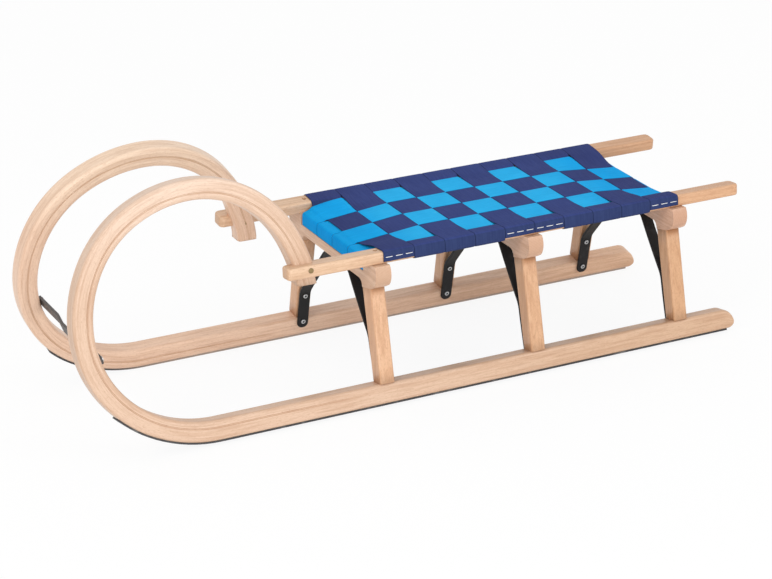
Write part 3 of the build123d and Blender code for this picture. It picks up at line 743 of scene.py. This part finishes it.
def make_runner(side, sign):
    """The section carried along the outline: out from the outline by its height, sideways by its width.

    At the tail the height shrinks to the quarter circles of the rounded end; the tip swings forward
    by a power of the share of its last length; the horn's last ring slides along the horn onto
    the level of the saw cut."""
    across, up, cut, back = SECTION
    tail = TAIL_TOP_R * (1.0 - np.cos(np.linspace(0.0, QUARTER, TAIL_RINGS)))
    straight = np.linspace(TAIL_TOP_R, STRAIGHT, STRAIGHT_RINGS)[1:]
    bend = STRAIGHT + np.arange(1, int(HORN_ARCS.sum() / RING_STEP) + 2) * RING_STEP
    bend = bend[bend < RUN_TOTAL - LAST_RING]
    s = np.concatenate([tail, straight, bend])
    x, v, heading = horn_line(s)
    from_end = s[:, None]
    top_in = np.clip(TAIL_TOP_R - from_end, 0.0, None)
    low_in = np.clip(TAIL_LOW_R - from_end, 0.0, None)
    v_top = RUN_H - TAIL_TOP_R + np.sqrt(np.clip(TAIL_TOP_R**2 - top_in**2, 0.0, None))
    v_low = TAIL_LOW_R - np.sqrt(np.clip(TAIL_LOW_R**2 - low_in**2, 0.0, None))
    rise = v_low + (up / RUN_H)[None, :] * (v_top - v_low)
    fade = step(x, *JOINT_FADE)[:, None]
    face = np.where(across > RUN_W / 2, -1.0, 1.0)[None, :]
    inward = face * fade * (cut * JOINT_DEPTH + back * JOINT_STEP)[None, :]
    wide = across[None, :] + inward
    share = np.clip(s - RUN_TOTAL + TIP_FROM, 0.0, None) / TIP_FROM
    swing = TIP_SWING[side] * share ** TIP_BEND[side]
    px = x[:, None] + swing[:, None] - rise * np.sin(heading)[:, None]
    pv = v[:, None] + rise * np.cos(heading)[:, None]
    y = RUN_Y + wide * UP - pv * LOW
    z = LIFT + wide * LOW + pv * UP
    # rings that reach below the saw cut are dropped, and the last one kept slides onto it
    falling = heading > math.pi
    end_z = HORN_END_Z[side]
    keep = ~(falling & (z.min(1) < end_z + LAST_RING))
    last = np.argmax(~keep) if not keep.all() else len(s)
    px, y, z, s, heading = px[:last], y[:last], z[:last], s[:last], heading[:last]
    slide = (end_z - z[-1]) / (math.sin(heading[-1]) * UP)
    end = np.stack([
        px[-1] + slide * math.cos(heading[-1]),
        y[-1] - slide * math.sin(heading[-1]) * LOW,
        z[-1] + slide * math.sin(heading[-1]) * UP,
    ], -1)
    grid = np.concatenate([np.stack([px, y, z], -1), end[None]])
    grid[..., 1] *= sign
    along = np.append(s, s[-1] + END_PIECE) + (0.0 if sign > 0 else OTHER_WOOD)
    uv = np.stack(np.broadcast_arrays(along[:, None], SECTION_AROUND[None, :]), -1)
    finishes = [BENT_WOOD[side], END_WOOD]
    thing = surface("runner_wood_" + side, grid, uv, finishes, cap_material=1)
    return finish_piece(thing, "wood", "runner_" + side)


for side, sign in SIDES.items():
    make_runner(side, sign)


# Legs and braces

def runner_place(across, along):
    """Y and Z of a point of the leaning runner plane."""
    return RUN_Y + across * UP - along * LOW, LIFT + across * LOW + along * UP


def rounded_box(width, depth, radius, steps=5):
    """Outline of a rectangle with quarter circles at its corners, about its middle. The flats have
    points close to the corners, so that they shade flat."""
    outline = []
    for k, (cx, cy) in enumerate(((1, 1), (-1, 1), (-1, -1), (1, -1))):
        x0, y0 = cx * (width / 2 - radius), cy * (depth / 2 - radius)
        c, s = math.cos(k * QUARTER), math.sin(k * QUARTER)
        a = k * QUARTER + np.linspace(0.0, QUARTER, steps)
        lead = np.array([s, -c]) * BOX_LEAD
        arc = np.stack([x0 + radius * np.cos(a), y0 + radius * np.sin(a)], -1)
        tail = np.array([-c, -s]) * BOX_LEAD
        outline += [arc[:1] + lead, arc, arc[-1:] + tail]
    return np.concatenate(outline).T


def closed_piece(name, grid, uv, material, node, slot):
    """A finished piece over a grid that closes round and has flat ends."""
    return finish_piece(surface(name, grid, uv, [material]), slot, node)


def make_leg(bar, side, sign):
    """The section carried from the runner's top to the crossbar's slanting seam.

    Foot and head are moved a little, evenly less from one to the other: the leg leans with its foot
    outwards and to the rear, and its inner face stands back towards the foot."""
    ax, wide = rounded_box(LEG_T, LEG_W, LEG_EDGE)
    wide = wide + LEG_IN + LEG_W / 2
    t = np.linspace(0.0, 1.0, LEG_RINGS)[:, None]
    out = (1.0 - t) * LEG_FOOT_OUT + t * LEG_HEAD_OUT
    a = wide[None, :] + out + LEG_TAPER * (1.0 - t) * (1.0 - (wide - LEG_IN) / LEG_W)[None, :]
    x = BARS[bar] + ax[None, :] + (1.0 - t) * LEG_FOOT_X[bar] + t * LEG_HEAD_X
    foot = RUN_H + LEG_GAP
    head_a = a[-1:]
    head = SEAM_Z + SEAM_RISE * (RUN_Y + head_a * UP - SEAM_Y) - LIFT - head_a * LOW
    head = head / (UP + SEAM_RISE * LOW)
    along = foot + t * (head - foot)
    y, z = runner_place(a, along)
    grid = np.stack([x, sign * y, z], -1)
    uv = np.zeros((len(t), len(ax) + 1, 2))
    place = "{}_{}".format(bar, side)
    return closed_piece("leg_wood_" + place, grid, uv, LEG_WOOD[side], "leg_" + place, "wood")


def bent_line(points, reach):
    """A row of points whose corners are parabolas that touch both arms at the given reach."""
    rows = [points[0][None]]
    u = np.linspace(0.0, 1.0, 9)[:, None]
    for before, corner, after in zip(points[:-2], points[1:-1], points[2:]):
        start = corner + (before - corner) * reach / np.linalg.norm(before - corner)
        end = corner + (after - corner) * reach / np.linalg.norm(after - corner)
        rows.append((1.0 - u) ** 2 * start + 2.0 * u * (1.0 - u) * corner + u * u * end)
    rows.append(points[-1][None])
    return np.concatenate(rows)


def make_brace(bar, side, sign):
    """A flat bar carried along its bent line; its ends narrow by quarter circles.

    It stands aside along X by the square of the share of its length below the upper bend."""
    off = BRACE_GAP + BRACE_T / 2
    tab_z = BAR_LOW_Z - off
    ahead, higher = BRACE_SHIFT[side][bar]
    corners = np.array([
        runner_place(-off, BRACE_LOW + higher), runner_place(-off, BRACE_BEND[side]),
        (BRACE_TOP_Y[side], tab_z), (BRACE_TAB_Y[side], tab_z),
    ])
    line, run = resample(bent_line(corners, BRACE_TURN), BRACE_STEP)
    end = BRACE_END_R * (1.0 - np.cos(np.linspace(0.0, QUARTER, 8)))
    run = np.concatenate([end, run[(run > BRACE_END_R) & (run < run[-1] - BRACE_END_R)], run[-1] - end[::-1]])
    even = lengths(line)
    y, z = np.interp(run, even, line[:, 0]), np.interp(run, even, line[:, 1])
    ny, nz = unit_normals(y, z)
    from_end = np.minimum(run, run[-1] - run)
    inset = np.clip(BRACE_END_R - from_end, 0.0, None)
    narrow = BRACE_END_R - np.sqrt(BRACE_END_R**2 - inset**2)
    ax, thick = rounded_box(BRACE_W, BRACE_T, BRACE_EDGE, 3)
    scale = (BRACE_W / 2 - narrow) / (BRACE_W / 2)
    aside = BRACE_SWAY[side] * np.clip(1.0 - run / BRACE_PATH, 0.0, None) ** 2
    x = BARS[bar] + BRACE_AHEAD + ahead + aside[:, None] + ax[None, :] * scale[:, None]
    py = y[:, None] + ny[:, None] * thick[None, :]
    pz = z[:, None] + nz[:, None] * thick[None, :]
    grid = np.stack([x, sign * py, pz], -1)
    uv = np.zeros((len(run), len(ax) + 1, 2))
    place = "{}_{}".format(bar, side)
    return closed_piece("brace_bar_" + place, grid, uv, BLACK_STEEL, "brace_" + place, "dark_steel")


# Seat

def seat_level(x):
    """Middle of the weave over X: level in the middle, straight slopes down to the outer edges.

    The kink between them is a parabola over KINK on either side of it."""
    slope = (SEAT_Z - OUTER_Z) / (OUTER_FRONT - LEVEL_FRONT)

    def down(t):
        return np.where(t < -KINK, 0.0, np.where(t > KINK, t, (t + KINK) ** 2 / (4.0 * KINK)))

    return SEAT_Z - slope * (down(x - LEVEL_FRONT) + down(LEVEL_REAR - x))


def edge_lift(x, y, free=False):
    """How much less than the middle the seat droops at X and Y: nothing inside, growing to the rails.

    A crosswise belt that lies over the outer lengthwise belt is free to rise all the way."""
    down = SEAT_Z - seat_level(x)
    beyond = np.maximum(x - LEVEL_FRONT, LEVEL_REAR - x) / MM
    share = np.where(free, 1.0, np.interp(beyond, DROOP_AT, DROOP_BACK))
    return down * share * step(np.abs(y), *DROOP_Y)


def seat_line():
    """Middle of the weave seen from the side, from the front face of the front crossbar to the rear one.

    Up the crossbar's face, a quarter circle round its upper edge, then the sloping and level seat."""
    radius = BAR_EASE + BELT_SKIN
    t = np.linspace(0.0, QUARTER, 13)

    def nose(bar_x, sign):
        ease_x = bar_x + sign * (BAR_T / 2 - BAR_REBATE - BAR_EASE)
        ease_z = BAR_TOP_Z - BAR_EASE
        z = np.concatenate([np.linspace(DROP_Z, ease_z, 9)[:-1], ease_z + radius * np.sin(t)])
        x = np.concatenate([np.full(8, ease_x + sign * radius), ease_x + sign * radius * np.cos(t)])
        return np.stack([x, z], -1)

    front = nose(BARS["front"], 1.0)
    rear = nose(BARS["rear"], -1.0)[::-1]
    x = np.linspace(OUTER_FRONT, OUTER_REAR, SEAT_POINTS_X)
    seat = np.stack([x, seat_level(x)], -1)
    return np.concatenate([front, seat, rear])


SEAT_POINTS = seat_line()
SEAT_RUN = lengths(SEAT_POINTS)


def seat_at(run):
    """Point and upward normal of the seat line at a running length."""
    def at(place):
        return np.array([np.interp(place, SEAT_RUN, row) for row in SEAT_POINTS.T])

    x, z = at(run)
    dx, dz = at(run + 1.0 * MM) - at(run - 1.0 * MM)
    size = np.hypot(dx, dz)
    return x, z, dz / size, -dx / size


def run_of_x(x):
    """Running length of the seat line at X, on its upper part."""
    top = SEAT_POINTS[:, 1] > SEAT_Z - 12.0 * MM
    return float(np.interp(-x, -SEAT_POINTS[top, 0], SEAT_RUN[top]))


def cross_span(i):
    """Front and rear edge of crosswise belt i, as running lengths."""
    middle = CROSS_FIRST_X - i * PITCH_X
    return run_of_x(middle + CROSS_W / 2), run_of_x(middle - CROSS_W / 2)


def row_y(row):
    """Middle of a lengthwise belt."""
    return (row - (LONG_COUNT - 1) / 2) * PITCH_Y


WEAVE_EDGE = row_y(LONG_COUNT - 1) + PITCH_Y / 2


def belt_section(width):
    """Flat lens across a belt: place across and height, counted round.

    Its height is the root of one less the twelfth power of the share of the half width, so that the
    edges are thin and round, and the points lie closer there."""
    t = np.linspace(-1.0, 1.0, BELT_POINTS)
    t = np.concatenate([t, t[::-1][1:-1]])
    t = np.sign(t) * (1.0 - (1.0 - np.abs(t)) ** 1.8)
    thick = BELT_T / 2 * (1.0 - np.abs(t) ** 12) ** 0.5
    thick = np.maximum(thick, 0.12 * BELT_T)
    top = np.concatenate([np.ones(BELT_POINTS), -np.ones(BELT_POINTS - 2)])
    return t * width / 2, thick * top


def crossing(along, breaks, first):
    """Height share along a belt: +1 and -1 by turns between the breaks, smooth steps at them."""
    height = np.full(len(along), first)
    for k, place in enumerate(breaks):
        flip = -2.0 * first if k % 2 == 0 else 2.0 * first
        height = height + flip * step(along, place - TURN_OVER, place + TURN_OVER)
    return height


def pillow(along, breaks):
    """1 in the middle between two breaks, 0 at them: a parabola."""
    k = np.clip(np.searchsorted(breaks, along), 1, len(breaks) - 1)
    low, high = breaks[k - 1], breaks[k]
    t = (along - low) / (high - low)
    inside = (along > breaks[0]) & (along < breaks[-1])
    return np.where(inside, 4.0 * t * (1.0 - t), 0.0)


def belt_height(weave, bulge, across, width):
    """Height of a belt's middle layer over the weave: its lift, and a parabola across it at each crossing."""
    crown = 1.0 - (2.0 * across / width) ** 2
    return (weave * LIFT_BELT)[:, None] + (bulge * PILLOW)[:, None] * crown[None, :]


def make_lengthwise(row):
    """The section carried along the seat line, over and under the crosswise belts by turns."""
    spans = np.array([cross_span(i) for i in range(CROSS_COUNT)])
    inner = (spans[1:, 0] + spans[:-1, 1]) / 2
    breaks = np.concatenate([[spans[0, 0] - 1.0 * MM], inner, [spans[-1, 1] + 1.0 * MM]])
    run = np.linspace(0.0, SEAT_RUN[-1], LONG_RINGS)
    over_first = 1.0 if row % 2 == 0 else -1.0
    weave = crossing(run, inner, over_first)
    # past the outer belts it lies on the crossbar
    begun = step(run, breaks[0] - BAR_REST, breaks[0])
    ended = step(run, breaks[-1], breaks[-1] + BAR_REST)
    outside = 1.0 - begun * (1.0 - ended)
    weave = weave * (1.0 - outside) - outside
    bulge = pillow(run, breaks) * np.sign(weave)
    across, thick = belt_section(LONG_W)
    x, z, nx, nz = seat_at(run)
    height = belt_height(weave, bulge, across, LONG_W) + thick[None, :]
    y = np.broadcast_to(row_y(row) + across, height.shape)
    grid = np.stack([
        x[:, None] + nx[:, None] * height,
        y,
        z[:, None] + nz[:, None] * height + edge_lift(x[:, None], y),
    ], -1)
    name = "belt_long_{:02d}".format(row + 1)
    return finish_belt(name, grid, run, across, (BLUE_WEB, "belts_lengthwise", "blue_belt"))


def finish_belt(name, grid, run, across, kind):
    """Mesh of one belt; kind is its webbing, CAD node and slot."""
    material, node, slot = kind
    seam = np.append(across, across[0])
    uv = np.stack(np.broadcast_arrays(run[:, None], seam[None, :]), -1)
    thing = closed_piece(name, grid, uv, material, node, slot)
    return thing


def rail_point(across, up):
    """Y and Z of a point of the leaning rail section."""
    c, s = math.cos(RAIL_LEAN), math.sin(RAIL_LEAN)
    return RAIL_Y + across * c - up * s, RAIL_Z + across * s + up * c


def rail_wrap(stapled, free):
    """A belt's way from the seat over a rail: arcs round the rail's edges at the belt's distance from it.

    A free belt leaves the outer crossing in a straight line that touches the rail's top."""
    reach = RAIL_EDGE + BELT_SKIN
    points = [(row_y(LONG_COUNT - 1) if free else WEAVE_EDGE - 2.0 * MM, SEAT_Z)]
    climb = FREE_CLIMB if free else CLIMB

    def edge(across, up, start, turn):
        for t in np.linspace(0.0, 1.0, 7):
            a = start + turn * t
            points.append(rail_point(across + reach * math.cos(a), up + reach * math.sin(a)))

    edge(RAIL_EDGE, RAIL_H - RAIL_EDGE, QUARTER + climb, -climb)
    edge(RAIL_W - RAIL_EDGE, RAIL_H - RAIL_EDGE, QUARTER, -QUARTER)
    if stapled:
        points.append(rail_point(RAIL_W + BELT_SKIN, RAIL_H - STAPLED_DROP))
    else:
        edge(RAIL_W - RAIL_EDGE, RAIL_EDGE, 0.0, -QUARTER)
        points.append(rail_point(RAIL_W - TUCK, -BELT_SKIN))
    return np.array(points)


def make_crosswise(i):
    """The section carried from one rail's face over the seat to the other's.

    Between the rails it follows the seat line's droop, less the lift that grows towards the rails."""
    stapled = i + 1 in STAPLED
    over_left = i % 2 == 0
    path = np.concatenate([
        rail_wrap(stapled, not over_left)[::-1] * (-1.0, 1.0), rail_wrap(stapled, over_left),
    ])
    path, run = resample(path, CROSS_STEP)
    # soften the kinks a little: each point moves half way to the mean of its neighbours
    for _ in range(2):
        path[1:-1] = (path[:-2] + 2.0 * path[1:-1] + path[2:]) / 4.0
    y, z = path[:, 0], path[:, 1]
    ny, nz = unit_normals(y, z)
    middle = np.interp(0.0, y, run)
    breaks = middle + np.arange(-(LONG_COUNT // 2), LONG_COUNT // 2 + 1) * PITCH_Y
    inner = breaks[1:-1]
    first = 1.0 if i % 2 == 1 else -1.0
    weave = crossing(run, inner, first)
    free = (y > 0.0) == over_left
    beside = np.abs(y)
    past = beside - WEAVE_EDGE
    on_seat = 1.0 - np.where(free, step(past, *FREE_END), step(past, *HELD_END))
    weave = weave * on_seat
    bulge = pillow(run, breaks) * np.sign(weave) * on_seat
    start, stop = cross_span(i)
    width = stop - start
    across, thick = belt_section(width)
    sx, sz, nsx, nsz = seat_at((start + stop) / 2 + across)
    flat_x = np.interp((start + stop) / 2, SEAT_RUN, SEAT_POINTS[:, 0]) - across
    share = 1.0 - step(beside, *SLOPE_Y)[:, None]
    lift = edge_lift(sx[None, :], y[:, None], free[:, None])
    on_weave = 1.0 - step(past, *DROOP_END)[:, None]
    droop = ((sz - SEAT_Z)[None, :] + lift) * on_weave
    x0 = share * sx[None, :] + (1.0 - share) * flat_x[None, :]
    height = belt_height(weave, bulge, across, width) + thick[None, :]
    tilt = share * nsx[None, :]
    grid = np.stack([
        x0 + tilt * height,
        y[:, None] + ny[:, None] * height,
        z[:, None] + droop + nz[:, None] * height,
    ], -1)
    name = "belt_cross_{:02d}".format(i + 1)
    return finish_belt(name, grid, run, across, (NAVY_WEB, "belts_crosswise", "navy_belt"))


for side, sign in SIDES.items():
    for bar in BARS:
        make_leg(bar, side, sign)
        make_brace(bar, side, sign)
for row in range(LONG_COUNT):
    make_lengthwise(row)
for i in range(CROSS_COUNT):
    make_crosswise(i)


# Screws, bolts and staples

def turned(outline, centre, axis, count=24):
    """Points of a turned shape: each (radius, height) of the outline goes round the axis."""
    axis = np.array(axis, float) / np.linalg.norm(axis)
    side = np.cross(axis, (1.0, 0.0, 0.0) if abs(axis[0]) < 0.9 else (0.0, 1.0, 0.0))
    side = side / np.linalg.norm(side)
    other = np.cross(axis, side)
    a = np.linspace(0.0, math.tau, count, endpoint=False)
    ring = np.cos(a)[:, None] * side + np.sin(a)[:, None] * other
    r, h = np.array(outline).T
    return np.array(centre) + h[:, None, None] * axis + r[:, None, None] * ring[None]


def joined(name, grids, materials, slot, nodes=()):
    """One mesh from several closed grids, each with its material numbers from row to row and flat ends."""
    verts, faces, mats, base = [], [], [], 0
    for grid, bands in grids:
        n, m, _ = grid.shape
        verts.append(grid.reshape(-1, 3))
        faces += (ring_quads(n, m, m) + base).tolist()
        mats += np.repeat(bands, m).tolist()
        faces.append([base + q for q in range(m)][::-1])
        faces.append([base + (n - 1) * m + q for q in range(m)])
        mats += [bands[0], bands[-1]]
        base += n * m
    index = np.array(mats, np.int32)
    thing = build(name, np.concatenate(verts), faces, materials, index, np.ones(len(faces), bool))
    return finish_piece(thing, slot, *nodes)


screw_head = [(radius, share * SCREW_H) for radius, share in SCREW_ROWS]
bolt_head = [(share * BOLT_R, rise * MM) for share, rise in BOLT_ROWS]
for side, sign in SIDES.items():
    grids = []
    for bar, x in BARS.items():
        ahead, higher = BRACE_SHIFT[side][bar]
        for along in BRACE_SCREWS:
            y, z = runner_place(-BRACE_FACE, along + higher)
            aside = BRACE_AHEAD + ahead + BRACE_SWAY[side] * (1.0 - (along - BRACE_LOW) / BRACE_PATH) ** 2
            head = turned(screw_head, (x + aside, sign * y, z), (0.0, -sign * UP, -LOW))
            grids.append((head, SCREW_BANDS))
    finishes = [SCREW_STEEL, RECESS_SHADE]
    joined("brace_screw_heads_" + side, grids, finishes, "screw_steel", ["brace_screws_" + side])

    y, z = rail_point(RAIL_W - BOLT_SUNK, BOLT_UP)
    axis = (0.0, sign * math.cos(RAIL_LEAN), math.sin(RAIL_LEAN))
    bolt = turned(bolt_head, (BOLT_X, sign * y, z), axis)
    joined("bolt_head_" + side, [(bolt, BOLT_BANDS)], [BOLT_BRASS, RECESS_SHADE], "bolt_brass")
    dress("rail_bolt_" + side, BOLT_BRASS)

dress("bow_screws", SCREW_STEEL)


def staple(start, end, out):
    """Round wire crown with its two ends bent in: a circle carried along a short bent line."""
    start, end, out = (np.array(p, float) for p in (start, end, out))
    bend = (end - start) * STAPLE_BEND
    line = np.array([
        start - out * STAPLE_TIP, start + out * STAPLE_SHOULDER, start + bend + out * STAPLE_PROUD,
        end - bend + out * STAPLE_PROUD, end + out * STAPLE_SHOULDER, end - out * STAPLE_TIP,
    ])
    along = np.gradient(line, axis=0)
    along /= np.linalg.norm(along, axis=1)[:, None]
    side = np.cross(out, end - start)
    side /= np.linalg.norm(side)
    other = np.cross(along, side)
    a = np.linspace(0.0, math.tau, 8, endpoint=False)
    ring = np.cos(a)[None, :, None] * side + np.sin(a)[None, :, None] * other[:, None, :]
    return line[:, None, :] + STAPLE_R * ring


for side, sign in SIDES.items():
    grids = []
    out = (0.0, sign * math.cos(RAIL_LEAN), math.sin(RAIL_LEAN))
    for number in STAPLED:
        middle = CROSS_FIRST_X - (number - 1) * PITCH_X
        for shift in STAPLE_X:
            y, z = rail_point(RAIL_W + BELT_SKIN + BELT_T / 2, STAPLE_UP)
            x = middle + shift
            grid = staple((x - STAPLE_LEN / 2, sign * y, z), (x + STAPLE_LEN / 2, sign * y, z), out)
            grids.append((grid, [0] * 5))
    joined("staples_" + side, grids, [STAPLE_WIRE], "screw_steel")


# Stage

def seen_share(tree):
    """1 for rays from the camera, from mirrors and through glass, 0 for all others."""
    path = tree.nodes.new("ShaderNodeLightPath")
    seen = Wire(tree, path.outputs["Is Camera Ray"]) + Wire(tree, path.outputs["Is Glossy Ray"])
    seen = seen + Wire(tree, path.outputs["Is Transmission Ray"])
    return seen.math("MINIMUM", seen, 1.0)


def make_stage():
    """Pale floor; a camera sees it mixed with plain white so that only a soft shadow stays."""
    f = Finish("floor")
    f.done((0.92, 0.92, 0.92), 0.9)
    glow = f.tree.nodes.new("ShaderNodeEmission")
    glow.inputs["Color"].default_value = (1.0, 1.0, 1.0, 1.0)
    mixed = f.tree.nodes.new("ShaderNodeMixShader")
    feed(f.tree, mixed.inputs[0], seen_share(f.tree) * FLOOR_WHITE)
    f.tree.links.new(f.shader.outputs[0], mixed.inputs[1])
    f.tree.links.new(glow.outputs[0], mixed.inputs[2])
    f.tree.links.new(mixed.outputs[0], f.tree.nodes["Material Output"].inputs["Surface"])
    mesh = bpy.data.meshes.new("floor")
    a = np.linspace(0.0, math.tau, 64, endpoint=False)
    rim = np.stack([FLOOR_R * np.cos(a), FLOOR_R * np.sin(a), np.full(64, FLOOR_Z)], -1)
    mesh.from_pydata(rim.tolist(), [], [list(range(64))])
    mesh.materials.append(f.material)
    put(bpy.data.objects.new("floor", mesh))


def make_world():
    """Even soft light from all round; the camera, mirrors and glass see white."""
    world = bpy.data.worlds.new("studio")
    bpy.context.scene.world = world
    world.use_nodes = True
    tree = world.node_tree
    tree.nodes.clear()
    back = tree.nodes.new("ShaderNodeBackground")
    feed(tree, back.inputs["Color"], (1.0, 1.0, 1.0))
    feed(tree, back.inputs["Strength"], seen_share(tree) * (1.0 - WORLD_LIGHT) + WORLD_LIGHT)
    out = tree.nodes.new("ShaderNodeOutputWorld")
    tree.links.new(back.outputs[0], out.inputs[0])


def make_lamp(name, place, target, size, power):
    """A round lamp that looks at its target."""
    data = bpy.data.lights.new(name, "AREA")
    data.shape = "DISK"
    data.size = size
    data.energy = power
    lamp = bpy.data.objects.new(name, data)
    lamp.location = place
    lamp.rotation_euler = (Vector(target) - Vector(place)).to_track_quat("-Z", "Y").to_euler()
    put(lamp)


make_stage()
make_world()
for name, values in LAMPS.items():
    make_lamp(name, *values)
bpy.context.scene.view_settings.view_transform = "Standard"
